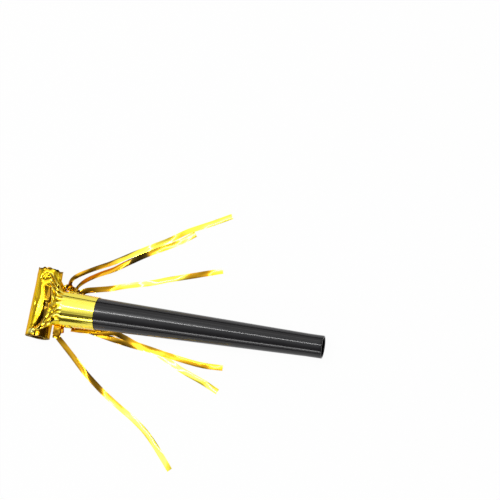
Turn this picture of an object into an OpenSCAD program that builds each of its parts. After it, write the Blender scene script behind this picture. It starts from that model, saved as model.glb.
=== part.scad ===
// Party horn blower: a tapered horn tube with a reed, and a foil blow-out that a flat spring keeps rolled up.
// It lies along X on z = 0, with the roll toward -X and the mouth toward +X.
// The origin is the middle of its bottom.

/* [Horn tube] */
// Length of tube that shows between the mouth and the cuff
tube_show = 125; // [95:1:140]
// Outer radius at the end hidden in the cuff
tube_head_r = 9.1; // [8.5:0.1:10]
// Outer radius at the mouth
tube_mouth_r = 6.1; // [5:0.1:7]
// Thickness of the tube's wall
tube_wall = 0.9; // [0.6:0.1:1.2]
// Length of the straight lip at the mouth
lip_len = 8; // [4:1:14]

/* [Reed] */
// Distance from the tube's hidden end to the plug of the reed holder
plug_inset = 3; // [1:0.5:8]
// Length of the plug
plug_len = 7; // [5:0.5:10]
// Length of the half-round channel in front of the plug
channel_len = 22; // [16:1:30]
// Inner radius of the channel
channel_r = 2.2; // [1.6:0.1:3]
// Wall of the channel
channel_wall = 0.9; // [0.6:0.1:1.2]
// Thickness of the tongue
tongue_t = 0.2; // [0.15:0.05:0.4]
// Angle at which the tongue stands open at rest, in degrees
tongue_open = 2.2; // [1.5:0.1:4]
// Length of the clamp that holds the tongue's root
clamp_len = 3; // [2:0.5:4]
// Height of the clamp
clamp_h = 1.6; // [1:0.1:2.5]

/* [Foil] */
// Width of the flat foil tube
foil_w = 38.5; // [30:0.5:46]
// Thickness of the flattened foil tube, with its spring inside
foil_t = 0.5; // [0.45:0.01:0.55]
// Thickness of one layer of foil
film_t = 0.12; // [0.08:0.01:0.14]
// Width of the glued edge on each side of the foil tube
edge_w = 0.6; // [0.3:0.1:1.5]
// Height of the roll, measured across two flats of its first turn
roll_d = 14; // [13.5:0.1:16]
// How much shorter each panel of the roll is than the one before
panel_drop_len = 0.11; // [0.1:0.005:0.12]
// How far the tube's axis lies to one side of the roll's middle, as photographed
roll_shift = 2; // [0:0.5:3]
// Width of the spring strip
spring_w = 2.4; // [1.5:0.1:5]
// Thickness of the spring strip
spring_t = 0.14; // [0.1:0.01:0.16]
// Length of the seal that closes the far end of the foil tube
seal_len = 1.2; // [0.8:0.1:1.6]

/* [Cuff and neck] */
// Length of the cuff
cuff_len = 20; // [15:0.5:28]
// Thickness of the cuff's foil, two layers and glue
cuff_t = 0.25; // [0.2:0.05:0.4]
// How far the cuff stands off the tube at its open front
cuff_flare = 0.4; // [0.2:0.05:0.8]
// Distance from the cuff's open front to the end of the tube inside it
tube_end_gap = 1; // [0.5:0.5:4]
// Length of the neck between the roll and the cuff
neck_len = 5; // [4.5:0.5:8]
// Height of the neck's crumpled ridge over the top of the roll
ridge_h = 3.6; // [2:0.1:4.5]

/* [Fringe] */
// Width of the band that the streamers are cut from
band_w = 5; // [3:0.5:8]
// Thickness of the band
band_t = 0.25; // [0.15:0.05:0.4]
// Distance from the cuff's front edge to the band
band_inset = 2; // [1:0.5:4]
// How far the band reaches above the tube's axis
band_rise = 2; // [0:0.5:4]
// Width of a streamer
streamer_w = 3.1; // [1.5:0.1:4]
// Thickness of a streamer
streamer_t = 0.4; // [0.3:0.05:0.6]

/* [Hidden] */
$fn = 96;
panel_count = 22;
fold = 45;
two_digits = function (i) i < 10 ? str("0", i) : str(i);

// Clearances and overruns
overrun = 1;
glue_gap = 0.05;
fold_gap = 0.06;
link_gap = 0.05;
seat_gap = 0.06;
roll_lift = 0.15;

// Places along X, from the roll's far side to the mouth
overall_len = roll_d + neck_len + cuff_len + tube_show;
mouth_x = overall_len / 2;
cuff_front_x = mouth_x - tube_show - cuff_len;
roll_x = cuff_front_x - neck_len - roll_d / 2;

// The tube's taper, by the distance from the mouth
tube_len = tube_show + cuff_len - tube_end_gap;
function tube_r(d) = tube_mouth_r + (tube_head_r - tube_mouth_r) * (d - lip_len) / (tube_len - lip_len);
cuff_rear_d = tube_show;
cuff_front_d = tube_show + cuff_len;
cuff_rear_r = tube_r(cuff_rear_d) + glue_gap + cuff_t;
cuff_front_r = tube_r(cuff_front_d) + cuff_flare + cuff_t;
function cuff_r(d) = cuff_rear_r + (cuff_front_r - cuff_rear_r) * (d - cuff_rear_d) / cuff_len;
band_front_d = cuff_front_d - band_inset;
band_rear_d = band_front_d - band_w;

band_rear_r = cuff_r(band_rear_d) + glue_gap;

// The horn rests on its mouth and on the front of the fringe band, which tilts its axis
rest_r = cuff_r(band_front_d) + glue_gap + band_t;
tilt = atan((rest_r - tube_mouth_r) / band_front_d);
mouth_z = tube_mouth_r * cos(tilt);
function axis_z(d) = mouth_z + d * sin(tilt);

// The roll: a spiral of flat panels, hinged at their outer edges
panel_len = roll_d * tan(fold / 2);
mitre = foil_t * tan(fold / 2);
roll_top = roll_lift + roll_d - panel_drop_len * (1 + cos(fold));
function travel(i) = 180 + fold * i;
function length_of(i) = panel_len - panel_drop_len * (i - 1);
function hinge_at(i) = i == 1
    ? [roll_x - panel_len / 2, roll_top]
    : hinge_at(i - 1) + length_of(i - 1) * [cos(travel(i - 1)), sin(travel(i - 1))];

// Puts a child that lies along X, with the mouth at zero and the head toward -X, on the tilted axis
module on_axis() {
    translate([mouth_x, -roll_shift, mouth_z]) rotate([0, tilt, 0]) children();
}

// A straight round body on the tube's axis between two distances from the mouth
module taper(d_near, d_far, r_near, r_far) {
    translate([-d_far, 0, 0]) rotate([0, 90, 0]) cylinder(h = d_far - d_near, r1 = r_far, r2 = r_near);
}

// Gives an outline drawn in X and Z a width along Y
module across(width) {
    rotate([90, 0, 0]) linear_extrude(height = width, center = true) children();
}

module horn_tube() color("#2b2c31") on_axis() rotate([0, -90, 0]) rotate_extrude() polygon([
    [tube_mouth_r - tube_wall, 0],
    [tube_mouth_r, 0],
    [tube_mouth_r, lip_len],
    [tube_head_r, tube_len],
    [tube_head_r - tube_wall, tube_len],
    [tube_mouth_r - tube_wall, lip_len]
]);

// The reed's places, as distances from the mouth
plug_far_d = tube_len - plug_inset;
plug_near_d = plug_far_d - plug_len;
channel_near_d = plug_near_d - channel_len;
clamp_d = plug_near_d - clamp_len;
function plug_r(d) = tube_r(d) - tube_wall - glue_gap;
reed_w = 2 * (channel_r + channel_wall);
tongue_len = channel_len - channel_wall;
pivot_d = clamp_d + clamp_len / 2;
tongue_lift = seat_gap + clamp_len / 2 * sin(tongue_open);

// A box on the tube's axis between two distances from the mouth and two heights
module axis_box(d_near, d_far, low, high, width) {
    translate([-d_far, -width / 2, low]) cube([d_far - d_near, width, high - low]);
}

module reed_holder() color("#e9e4d2") on_axis() difference() {
    union() {
        taper(plug_near_d, plug_far_d, plug_r(plug_near_d), plug_r(plug_far_d));
        intersection() {
            taper(channel_near_d, plug_near_d, channel_r + channel_wall, channel_r + channel_wall);
            axis_box(channel_near_d, plug_near_d, -reed_w, 0, 2 * reed_w);
        }
    }
    intersection() {
        taper(channel_near_d + channel_wall, plug_far_d + overrun, channel_r, channel_r);
        axis_box(channel_near_d, plug_far_d + overrun, -reed_w, 0, 2 * reed_w);
    }
}

// The tongue is pivoted where the clamp holds it, and stands a little open
module reed_tongue() color("#cfd3d6") on_axis()
    translate([-pivot_d, 0, tongue_lift + tongue_t / 2])
        rotate([0, -tongue_open, 0])
            translate([2 * seat_gap - clamp_len / 2, -(reed_w - channel_wall) / 2, -tongue_t / 2])
                cube([tongue_len - 2 * seat_gap, reed_w - channel_wall, tongue_t]);

clamp_floor = 2 * tongue_lift + tongue_t;
clamp_arm = channel_wall / 2 - seat_gap;

module reed_clamp() color("#e9e4d2") on_axis() {
    axis_box(clamp_d, plug_near_d, clamp_floor, clamp_floor + clamp_h, reed_w);
    for (side = [-1, 1]) translate([0, side * (reed_w - clamp_arm) / 2, 0])
        axis_box(clamp_d, plug_near_d, 0, clamp_floor, clamp_arm);
}

module foil_cuff() color("#e8c22a") on_axis() difference() {
    taper(cuff_rear_d, cuff_front_d, cuff_rear_r, cuff_front_r);
    taper(cuff_rear_d, cuff_front_d, cuff_rear_r - cuff_t, cuff_front_r - cuff_t);
    taper(cuff_rear_d - overrun, cuff_rear_d, cuff_rear_r - cuff_t, cuff_rear_r - cuff_t);
    taper(cuff_front_d, cuff_front_d + overrun, cuff_front_r - cuff_t, cuff_front_r - cuff_t);
}

// The neck is lofted from the cuff's round front to the flat foil tube on top of the roll.
// Each list has one share for each of its rings.
neck_sides = 48;
neck_x_share = [0, 0.07, 0.14, 0.21, 0.34, 0.48, 0.6, 0.7, 0.78, 0.88, 1];
neck_right_share = [0, 0.13, 0.32, 0.52, 0.74, 0.87, 0.94, 1, 1, 1, 1];
neck_left_share = [0, 0.05, 0.1, 0.18, 0.36, 0.56, 0.74, 0.9, 1, 1, 1];
neck_floor_share = [0, 0.1, 0.5, 0.93, 0.97, 0.98, 0.99, 1, 1, 1, 1];
neck_roof_share = [0, 0.04, 0.12, 0.26, 0.58, 0.84, 0.96, 1, 1, 1, 1];
neck_ridge_share = [0, 0, 0.08, 0.24, 0.5, 0.58, 0.2, 0.05, 0, 0, 0];
neck_lean_share = [0, 0.7, 1, 0.7, 0.1, 0, 0, 0, 0, 0, 0];
neck_flat_share = [0, 0.05, 0.15, 0.3, 0.5, 0.7, 0.85, 1, 1, 1, 1];
flat_power = 0.12;
neck_rings = len(neck_x_share);
neck_end_x = roll_x - panel_len / 2 + fold_gap;
cuff_front_z = axis_z(cuff_front_d);
neck_roof_z = cuff_front_z + cuff_front_r;
neck_floor_z = cuff_front_z - cuff_front_r;
function blend(a, b, share) = a + (b - a) * share;

// One point of a ring, drawn in by a wall's thickness
function neck_point(k, turn, inset) =
    let (
        side = cos(turn),
        up = sin(turn),
        power = blend(1, flat_power, neck_flat_share[k]),
        lift = sign(up) * pow(abs(up), power),
        wide = side > 0
            ? blend(cuff_front_r, foil_w / 2 + roll_shift, neck_right_share[k])
            : blend(cuff_front_r, foil_w / 2 - roll_shift, neck_left_share[k]),
        floor_z = blend(neck_floor_z, roll_top - foil_t, neck_floor_share[k]),
        roof_z = blend(neck_roof_z, roll_top, neck_roof_share[k]) + ridge_h * neck_ridge_share[k],
        high = (roof_z - floor_z) / 2 - inset,
        z = (roof_z + floor_z) / 2 + high * lift,
        round_x = cuff_front_x + (z - cuff_front_z) * tan(tilt),
        flat_x = neck_end_x + (roll_top - z) / foil_t * mitre,
        lean = inset * neck_lean_share[k] * max(0, -up)
    )
    [
        k == 0 ? round_x
            : k == neck_rings - 1 ? flat_x
            : blend(cuff_front_x, neck_end_x + mitre, neck_x_share[k]) + lean,
        side * (wide - inset * (side * side + 1) / 2) - roll_shift,
        z
    ];

// The neck's foil thins from the cuff's layers to one layer
function neck_wall(k) = blend(cuff_t, film_t, neck_flat_share[k]);
function neck_ring(k, inset) = [for (j = [0:neck_sides - 1]) neck_point(k, 360 * j / neck_sides, inset)];

// Joins rings of points into one closed skin. The last ring is joined to the first.
module ring_skin(rings, sides) {
    count = len(rings);
    points = [for (ring = rings) for (point = ring) point];
    faces = [for (k = [0:count - 1]) for (j = [0:sides - 1]) for (half = [0, 1])
        let (
            a = k * sides + j,
            b = k * sides + (j + 1) % sides,
            c = ((k + 1) % count) * sides + (j + 1) % sides,
            d = ((k + 1) % count) * sides + j
        )
        half == 0 ? [a, b, c] : [a, c, d]];
    polyhedron(points = points, faces = faces);
}

module foil_neck() color("#e8c22a") ring_skin(concat(
    [for (k = [0:neck_rings - 1]) neck_ring(k, 0)],
    [for (k = [neck_rings - 1:-1:0]) neck_ring(k, neck_wall(k))]
), neck_sides);

module fringe_band() color("#d9b021") on_axis() intersection() {
    difference() {
        taper(band_rear_d, band_front_d, band_rear_r + band_t, rest_r);
        taper(band_rear_d, band_front_d, band_rear_r, rest_r - band_t);
        taper(band_rear_d - overrun, band_rear_d, band_rear_r, band_rear_r);
        taper(band_front_d, band_front_d + overrun, rest_r - band_t, rest_r - band_t);
    }
    axis_box(band_rear_d, band_front_d, -2 * rest_r, band_rise, 4 * rest_r);
}

// The streamers' courses to their loose ends on the table, measured from the cuff's front edge.
// Each starts on the band, at an angle round the tube's axis and a share of the band's width.
root_angles = [190, -2, -15, -29, 215, 233];
root_shares = [0.05, 0.15, 0.5, 0.7, 0.5, 0.7];
function root(i) =
    let (
        d = band_front_d - band_w * root_shares[i - 1],
        r = rest_r + glue_gap + streamer_w / 2
    )
    [
        mouth_x - d * cos(tilt),
        r * cos(root_angles[i - 1]) - roll_shift,
        axis_z(d) + r * sin(root_angles[i - 1])
    ];
route_1 = [
    [-0.5, -14.5, 7.5], [-1, -17, 6.5], [2.5, -20.5, 5], [9, -26.5, 3.2], [16, -33, 1.8],
    [23, -38.5, 0.9], [30, -43.5, 0.4], [39, -49, 0.4], [47.5, -54, 0.4], [55.5, -59.5, 0.4],
    [62.5, -66, 0.4], [68.5, -72.5, 0.4], [73.5, -78, 0.4]
];
route_2 = [
    [1, 12, 9], [1.5, 15.5, 8], [5, 19, 6.6], [12, 23.5, 5], [21, 28.5, 3.5],
    [31, 35, 2], [41.5, 41, 1.2], [49.5, 45.5, 1], [59.5, 52, 1], [71.5, 58, 0.6],
    [82, 63.5, 0.4]
];
route_3 = [
    [5, 12, 6.5], [8.5, 16.5, 5], [14.5, 20.8, 3.6], [21.5, 24.8, 2.2], [27, 28.8, 1.2],
    [33.5, 33.2, 0.5], [41, 37.7, 0.4], [49.5, 42, 0.4], [57, 46.3, 0.4], [63.5, 51, 0.4]
];
route_4 = [
    [9, 10.8, 3.6], [15, 12.5, 2.4], [22, 14.3, 1.3], [29.5, 16.8, 0.6], [37, 18.8, 0.4],
    [45, 21, 0.4], [52.5, 23.6, 0.4], [60, 25.8, 0.4], [67.5, 28, 0.4], [75, 30.3, 0.4],
    [82.5, 32.5, 0.4]
];
route_5 = [
    [11, -11.2, 2.2], [17, -10.6, 1.5], [23, -9.9, 1.2], [29, -10, 1.1], [35, -11.6, 1.1], [42, -14.2, 1.1],
    [50.5, -15.8, 1],
    [59.5, -17.4, 0.9], [71.5, -19.2, 0.6], [81.5, -20.2, 0.4], [92, -20, 0.4]
];
route_6 = [
    [13, -10.4, 0.4], [21, -11.9, 0.4], [30, -13.6, 0.4], [39.5, -15, 0.4], [50, -16.2, 0.4],
    [56, -18, 0.4], [66.5, -23, 0.4], [73.5, -25.8, 0.4], [83, -29.3, 0.4], [91.5, -33, 0.4]
];
courses = [route_1, route_2, route_3, route_4, route_5, route_6];
function route(i) = concat([root(i)], [for (point = courses[i - 1]) point + [cuff_front_x, 0, 0]]);
ribbon_sides = 8;
function unit(v) = v / norm(v);
function heading(course, k) =
    unit(course[min(k + 1, len(course) - 1)] - course[max(k - 1, 0)]);

// A ring of a flat ribbon, square to its course and level across
function ribbon_ring(course, k) =
    let (
        along = heading(course, k),
        level = unit(cross([0, 0, 1], along)),
        square = cross(along, level)
    )
    [for (j = [0:ribbon_sides - 1])
        let (turn = 360 * (j + 0.5) / ribbon_sides)
        course[k] + level * streamer_w / 2 * cos(turn) / cos(180 / ribbon_sides)
            + square * streamer_t / 2 * sin(turn) / cos(180 / ribbon_sides)];

module streamer(i) color("#e8c22a") {
    course = route(i);
    count = len(course);
    points = [for (k = [0:count - 1]) for (point = ribbon_ring(course, k)) point];
    sides = ribbon_sides;
    last = (count - 1) * sides;
    skin = [for (k = [0:count - 2]) for (j = [0:sides - 1]) for (half = [0, 1])
        let (
            a = k * sides + j,
            b = k * sides + (j + 1) % sides,
            c = b + sides,
            d = a + sides
        )
        half == 0 ? [a, b, c] : [a, c, d]];
    start_cap = [for (j = [1:sides - 2]) [0, j + 1, j]];
    end_cap = [for (j = [1:sides - 2]) [last, last + j, last + j + 1]];
    polyhedron(points = points, faces = concat(skin, start_cap, end_cap));
}

// Draws a child's outline along panel i, with the panel's outer edge on its first axis
module along_panel(i) {
    translate(hinge_at(i)) rotate(travel(i)) children();
}

// The length of panel i that its seal leaves, which is all of it but for the last
function open_len(i) = length_of(i) - (i == panel_count ? seal_len : 0);
function far_mitre(i) = i == panel_count ? 0 : mitre;
function far_gap(i) = i == panel_count ? 0 : fold_gap;

module foil_panel(i) color("#e8c22a") difference() {
    across(foil_w) along_panel(i) polygon([
        [fold_gap, 0],
        [open_len(i) - far_gap(i), 0],
        [open_len(i) - far_gap(i) - far_mitre(i), foil_t],
        [fold_gap + mitre, foil_t]
    ]);
    across(foil_w - 2 * edge_w) along_panel(i) translate([-overrun, film_t])
        square([open_len(i) + 2 * overrun, foil_t - 2 * film_t]);
}

// The spring lies on the inner layer of foil
module spring_link(i) color("#b9bcc2") across(spring_w) {
    if (i == 0) {
        translate([neck_end_x + mitre + link_gap, roll_top - foil_t + film_t])
            square([panel_len / 2, spring_t]);
    } else {
        along_panel(i) translate([fold_gap + mitre + link_gap, foil_t - film_t - spring_t])
            square([open_len(i) - far_gap(i) - far_mitre(i) - fold_gap - mitre - 2 * link_gap, spring_t]);
    }
}

module tip_seal() color("#d9b021") across(foil_w) along_panel(panel_count)
    translate([open_len(panel_count), 0]) square([seal_len, foil_t]);

horn_tube();
reed_holder();
reed_tongue();
reed_clamp();
foil_cuff();
foil_neck();
fringe_band();
for (i = [1:6]) streamer(i);
for (i = [1:panel_count]) foil_panel(i);
for (i = [0:panel_count]) spring_link(i);
tip_seal();
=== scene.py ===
import math
import random

import bmesh
import bpy
import numpy as np
from mathutils import Matrix, Vector
from mathutils.geometry import delaunay_2d_cdt


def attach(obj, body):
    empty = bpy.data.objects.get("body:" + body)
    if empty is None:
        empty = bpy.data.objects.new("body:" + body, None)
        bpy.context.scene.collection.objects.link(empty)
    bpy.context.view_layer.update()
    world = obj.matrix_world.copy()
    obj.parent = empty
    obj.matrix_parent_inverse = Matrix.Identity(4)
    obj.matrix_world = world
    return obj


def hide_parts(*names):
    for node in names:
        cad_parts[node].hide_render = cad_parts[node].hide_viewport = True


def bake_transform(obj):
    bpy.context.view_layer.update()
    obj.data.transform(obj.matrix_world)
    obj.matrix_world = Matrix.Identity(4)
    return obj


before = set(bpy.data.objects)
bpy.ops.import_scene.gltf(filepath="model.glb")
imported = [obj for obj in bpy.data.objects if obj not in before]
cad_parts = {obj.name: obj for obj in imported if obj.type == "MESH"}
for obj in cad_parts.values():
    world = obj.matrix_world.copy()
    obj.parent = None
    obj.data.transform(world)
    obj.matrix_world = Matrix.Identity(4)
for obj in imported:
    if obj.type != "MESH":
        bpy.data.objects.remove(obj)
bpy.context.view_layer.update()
MM = 0.001

# Camera at the photograph's angle

VIEWED_FROM = Vector((0.273, -0.15, 0.9502))
CAMERA_DISTANCE = 0.8
CAMERA_ROLL = math.radians(-39.284)
CAMERA_LENS = 106.84
OBJECT_MIDDLE = Vector((0.0, -0.001, 0.008))
PICTURE_MIDDLE = Vector((0.0341, 0.04445, 0.008))


def put(name, data):
    """A new object in the scene."""
    made = bpy.data.objects.new(name, data)
    bpy.context.scene.collection.objects.link(made)
    return made


def place_camera():
    """Looks at the horn from the photograph's side, turned in its frame as the picture is."""
    camera = put("camera", bpy.data.cameras.new("camera"))
    camera.data.sensor_width = 36
    camera.data.lens = CAMERA_LENS
    camera.data.clip_start = 0.05
    camera.data.clip_end = 20
    stand = OBJECT_MIDDLE + VIEWED_FROM.normalized() * CAMERA_DISTANCE
    look = (PICTURE_MIDDLE - stand).normalized()
    level = look.cross(Vector((0, 0, 1))).normalized()
    rise = level.cross(look)
    across = level * math.cos(CAMERA_ROLL) + rise * math.sin(CAMERA_ROLL)
    up = rise * math.cos(CAMERA_ROLL) - level * math.sin(CAMERA_ROLL)
    turned = Matrix((across, up, -look)).transposed().to_4x4()
    camera.matrix_world = Matrix.Translation(stand) @ turned
    bpy.context.scene.camera = camera


place_camera()

# Node trees: what every one of them is made with

SOCKET_KINDS = {int: "Int", float: "Float"}


def new_tree(kind, name, inputs, outputs):
    """A node tree: inputs by name, each with its first value or its kind, and outputs by name and kind."""
    tree = bpy.data.node_groups.new(name, kind)
    for label, value in inputs.items():
        sort = value if isinstance(value, str) else SOCKET_KINDS[type(value)]
        socket = tree.interface.new_socket(label, in_out="INPUT", socket_type="NodeSocket" + sort)
        if sort != value:
            socket.default_value = value
    for label, sort in outputs.items():
        tree.interface.new_socket(label, in_out="OUTPUT", socket_type="NodeSocket" + sort)
    return tree, tree.nodes.new("NodeGroupInput").outputs, tree.nodes.new("NodeGroupOutput")


def feed(tree, made, values):
    """Sets a node's inputs, each to a value, an output, or another node's first output."""
    for key, value in dict(values).items():
        if isinstance(value, bpy.types.Node):
            value = value.outputs[0]
        if isinstance(value, bpy.types.NodeSocket):
            tree.links.new(value, made.inputs[key])
        else:
            made.inputs[key].default_value = value


def node(tree, kind, values=(), **settings):
    """A new node with its settings and its inputs."""
    made = tree.nodes.new(kind)
    for key, value in settings.items():
        setattr(made, key, value)
    feed(tree, made, values)
    return made


def maths(tree, operation, *values):
    """A math node on values, outputs or nodes."""
    return node(tree, "ShaderNodeMath", dict(enumerate(values)), operation=operation)


# Shared shader effects


def crinkle_group():
    """Crushed film: flat facets that meet in creases, at two sizes, deeper where the film is crushed."""
    group, given, end = new_tree(
        "ShaderNodeTree", "film crinkle",
        {"Vector": "Vector", "Size": 300.0, "Depth": 0.0002, "Crush": 0.0},
        {"Normal": "Vector", "Crease Shade": "Float"},
    )
    where = given["Vector"]
    large, small = (
        node(group, "ShaderNodeTexVoronoi", {"Vector": where, "Scale": scale}, feature="DISTANCE_TO_EDGE")
        for scale in (given["Size"], maths(group, "MULTIPLY", given["Size"], 2.1))
    )
    height = maths(group, "ADD", large, maths(group, "MULTIPLY", small, 0.16))
    depth = maths(group, "MULTIPLY", given["Depth"], maths(group, "ADD", given["Crush"], 0.012))
    bump = node(group, "ShaderNodeBump", {"Strength": 1.0, "Height": height, "Distance": depth})
    # The crease mask, scaled by crushing, which the material turns into painted shade in the creases
    crease = maths(group, "SUBTRACT", 1.0, maths(group, "MULTIPLY", large, 9.0))
    crushed = maths(group, "MULTIPLY", maths(group, "MAXIMUM", crease, 0.0), given["Crush"])
    feed(group, end, {"Normal": bump, "Crease Shade": crushed})
    return group


def drift_group():
    """A colour that drifts between two tones in soft patches. A mask asks for the deep tone."""
    group, given, end = new_tree(
        "ShaderNodeTree", "tone drift",
        {"Vector": "Vector", "Tone": "Color", "Deep Tone": "Color", "Patch Size": 120.0, "Share": 0.4,
         "Softness": 0.15, "Mask": 0.0},
        {"Color": "Color"},
    )
    noise = node(group, "ShaderNodeTexNoise", {
        "Vector": given["Vector"], "Scale": given["Patch Size"], "Detail": 3.0, "Roughness": 0.5,
    })
    level = maths(group, "SUBTRACT", 1.0, given["Share"])
    limits = node(group, "ShaderNodeMapRange", {
        "Value": noise,
        "From Min": maths(group, "SUBTRACT", level, given["Softness"]),
        "From Max": maths(group, "ADD", level, given["Softness"]),
    }, interpolation_type="SMOOTHSTEP")
    share = maths(group, "MAXIMUM", limits, given["Mask"])
    tones = {0: share, 6: given["Tone"], 7: given["Deep Tone"]}
    feed(group, end, {0: node(group, "ShaderNodeMix", tones, data_type="RGBA", clamp_factor=True).outputs[2]})
    return group


def handling_group():
    """Marks of handling: faint hairlines along a stretched direction, and smudges."""
    group, given, end = new_tree(
        "ShaderNodeTree", "handling marks",
        {"Vector": "Vector", "Stretch": "Vector", "Low": 0.15, "High": 0.3, "Depth": 0.00002},
        {"Roughness": "Float", "Normal": "Vector"},
    )
    where = given["Vector"]
    stretched = node(group, "ShaderNodeVectorMath", {0: where, 1: given["Stretch"]}, operation="MULTIPLY")
    lines, smudge = (
        node(group, "ShaderNodeTexNoise", dict(zip(("Vector", "Scale", "Detail", "Roughness"), values)))
        for values in ((stretched, 1.0, 5.0, 0.7), (where, 60.0, 3.0, 0.6))
    )
    both = maths(group, "ADD", maths(group, "MULTIPLY", smudge, 0.7), maths(group, "MULTIPLY", lines, 0.3))
    limits = {"Value": both, "To Min": given["Low"], "To Max": given["High"]}
    spread = node(group, "ShaderNodeMapRange", limits)
    bump = node(group, "ShaderNodeBump", {"Strength": 0.4, "Height": lines, "Distance": given["Depth"]})
    feed(group, end, {"Roughness": spread, "Normal": bump})
    return group


CRINKLE = crinkle_group()
DRIFT = drift_group()
HANDLING = handling_group()

# Materials

# Tones of painted light on the film: straw for painted highlights, umber for painted shade
STRAW_HIGHLIGHT = (1.0, 0.94, 0.36)
UMBER_SHADE = (0.10, 0.060, 0.006)


def blank_material(name, settings):
    """A material with one Principled BSDF and its constant values."""
    material = bpy.data.materials.new(name)
    material.use_nodes = True
    shader = material.node_tree.nodes["Principled BSDF"]
    feed(material.node_tree, shader, settings)
    return material, material.node_tree, shader


def surface(name, settings, tones, patches, marks):
    """A material whose tone drifts between two, and whose gloss shows marks of handling."""
    material, tree, shader = blank_material(name, settings)
    where = node(tree, "ShaderNodeTexCoord").outputs["Object"]
    patches = {"Vector": where, "Tone": (*tones[0], 1), "Deep Tone": (*tones[1], 1), **patches}
    drift = node(tree, "ShaderNodeGroup", patches, node_tree=DRIFT)
    handled = node(tree, "ShaderNodeGroup", {"Vector": where, **marks}, node_tree=HANDLING)
    feed(tree, shader, {"Base Color": drift, "Roughness": handled, "Normal": handled.outputs["Normal"]})
    return material, tree, shader, where, drift


def film_material(name, tones, size, depth, share, patch, rough, coat):
    """Metallised film under clear yellow lacquer.

    Its crush attribute creases it, and its creases take painted shade. Its other attribute turns its tone: to
    straw, a painted highlight, at -2, to its own deep tone at 1 and to umber, painted shade, at 2.
    """
    settings = {
        "Metallic": 1.0, "IOR": 1.45, "Coat Weight": coat, "Coat Roughness": 0.06, "Coat IOR": 1.5,
        "Specular Tint": (0.97, 0.72, 0.12, 1),
    }
    marks = {"Stretch": (300, 900, 300), "Low": rough * 0.7, "High": rough * 1.5, "Depth": 0.00001}
    patches = {"Patch Size": patch, "Share": share}
    material, tree, shader, where, drift = surface(name, settings, tones, patches, marks)
    tone_and_painted_light, crush = (
        node(tree, "ShaderNodeAttribute", attribute_name=label).outputs["Fac"] for label in ("tone_and_painted_light", "crush")
    )
    creased = {"Vector": where, "Size": size, "Depth": depth, "Crush": crush}
    crinkle = node(tree, "ShaderNodeGroup", creased, node_tree=CRINKLE)
    # Painted shade: the deep tone where the tone attribute asks for it, and in the creases
    deep = maths(tree, "MAXIMUM", tone_and_painted_light, maths(tree, "MULTIPLY", crinkle.outputs["Crease Shade"], 0.7))
    feed(tree, drift, {"Mask": deep})
    color = drift.outputs["Color"]
    # Painted highlight toward straw below 0, painted shade toward umber above 1
    for tone, start, end in ((STRAW_HIGHLIGHT, 0.0, -2.0), (UMBER_SHADE, 1.0, 2.0)):
        part = node(tree, "ShaderNodeMapRange", {"Value": tone_and_painted_light, "From Min": start, "From Max": end})
        color = node(tree, "ShaderNodeMix", {0: part, 6: color, 7: (*tone, 1)}, data_type="RGBA").outputs[2]
    feed(tree, shader, {"Base Color": color, "Normal": crinkle})
    return material


STOCK_DRIFT = (300.0, 0.45, 0.25)


def plain_material(name, tones, stretch, gloss, metallic=0.0, ior=1.48, drift=STOCK_DRIFT, depth=0.00001):
    """Moulded, cut or rolled stock: slight tone drift, and marks along its length."""
    patches = dict(zip(("Patch Size", "Share", "Softness"), drift))
    marks = {"Stretch": stretch, "Low": gloss[0], "High": gloss[1], "Depth": depth}
    return surface(name, {"Metallic": metallic, "IOR": ior}, tones, patches, marks)[0]


GOLD_FILM = film_material(
    "gold film", ((0.93, 0.70, 0.022), (0.72, 0.37, 0.006)), 190.0, 0.0009, 0.35, 260.0, 0.2, 0.12,
)
CUFF_FILM = film_material(
    "smooth gold film", ((0.96, 0.83, 0.075), (0.86, 0.62, 0.03)), 200.0, 0.0006, 0.25, 110.0, 0.13, 0.8,
)
STREAMER_FILM = film_material(
    "streamer film", ((0.98, 0.82, 0.07), (0.80, 0.40, 0.012)), 300.0, 0.0004, 0.12, 90.0, 0.13, 0.15,
)
HORN_PLASTIC = plain_material(
    "horn plastic", ((0.0105, 0.0105, 0.0122), (0.0155, 0.0153, 0.0175)), (25, 2600, 2600), (0.09, 0.18),
    ior=1.42, drift=(45.0, 0.5, 0.3), depth=0.000004,
)
REED_PLASTIC = plain_material(
    "reed plastic", ((0.84, 0.81, 0.72), (0.78, 0.74, 0.63)), (40, 900, 900), (0.3375, 0.585),
)
TONGUE_PLASTIC = plain_material(
    "tongue film", ((0.78, 0.81, 0.83), (0.7, 0.73, 0.76)), (60, 1500, 600), (0.165, 0.286),
)
SPRING_STEEL = plain_material(
    "spring steel", ((0.66, 0.67, 0.69), (0.56, 0.57, 0.6)), (200, 2500, 2500), (0.195, 0.338), metallic=1.0,
)

# Mesh helpers


def mix(a, b, share):
    """A value between two, at a share of the way."""
    return a + (b - a) * share


def make_piece(name, points_mm, faces, material, tone_and_painted_light, crush=None):
    """A smooth mesh object from points in millimetres, with its tone and its creasing at each point."""
    mesh = bpy.data.meshes.new(name)
    mesh.from_pydata([(x * MM, y * MM, z * MM) for x, y, z in points_mm], [], faces)
    mesh.materials.append(material)
    for label, values in (("tone_and_painted_light", tone_and_painted_light), ("crush", crush)):
        if values is not None:
            attribute = mesh.attributes.new(label, "FLOAT", "POINT")
            attribute.data.foreach_set("value", np.asarray(values, np.float32))
    mesh.update()
    mesh.shade_smooth()
    return put(name, mesh)


def settle(piece, sharp_angle=None):
    """Turns a piece with modifiers into one plain mesh, faces outward, smooth up to a crease angle."""
    bpy.context.view_layer.update()
    depsgraph = bpy.context.evaluated_depsgraph_get()
    mesh = bpy.data.meshes.new_from_object(piece.evaluated_get(depsgraph))
    piece.modifiers.clear()
    piece.data = mesh
    loose = bmesh.new()
    loose.from_mesh(mesh)
    bmesh.ops.recalc_face_normals(loose, faces=loose.faces)
    loose.to_mesh(mesh)
    loose.free()
    mesh.shade_smooth()
    if sharp_angle is not None:
        mesh.set_sharp_from_angle(angle=math.radians(sharp_angle))
    return piece


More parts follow.
